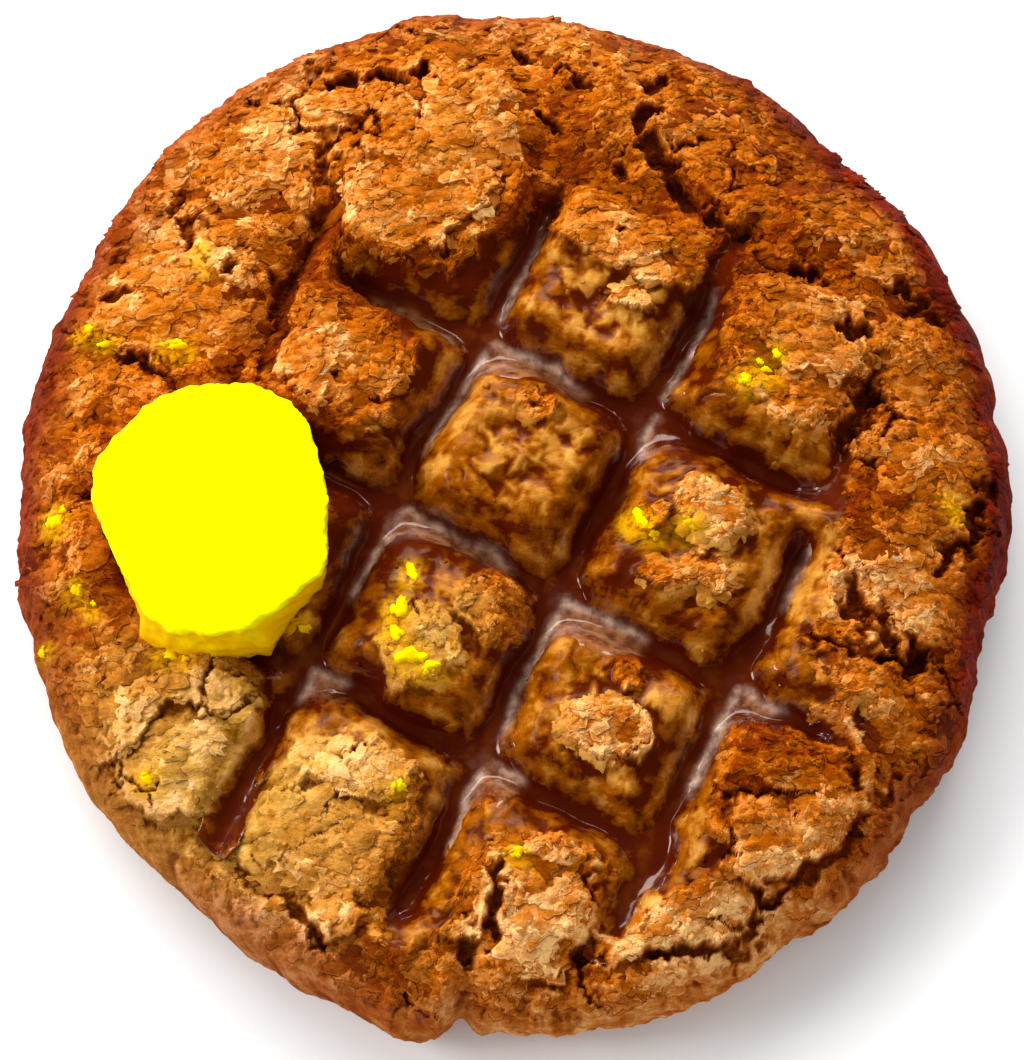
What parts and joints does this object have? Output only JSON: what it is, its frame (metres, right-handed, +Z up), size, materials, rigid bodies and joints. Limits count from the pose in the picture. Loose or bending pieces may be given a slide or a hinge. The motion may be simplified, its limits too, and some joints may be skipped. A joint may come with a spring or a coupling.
{
  "type": "waffle-pressed cookie",
  "caption": "Thick round baked cookie with a crackled crust and a pressed square grid, syrup lying in the grooves and a pat of butter on one side.",
  "frame": {"origin": "under the middle of the cookie's outline, on the surface it lies on", "axes": "+Z up through the thickness, +Y away from the viewer, +X to the right"},
  "size_m": [0.1098, 0.1164, 0.0247],
  "materials": {
    "baked_cookie": "matte crackled crust",
    "syrup": "wet gloss",
    "butter": "soft satin"
  },
  "bodies": {
    "root": {"cookie": "baked_cookie", "syrup": "syrup", "butter_pat": "butter"}
  },
  "joints": []
}
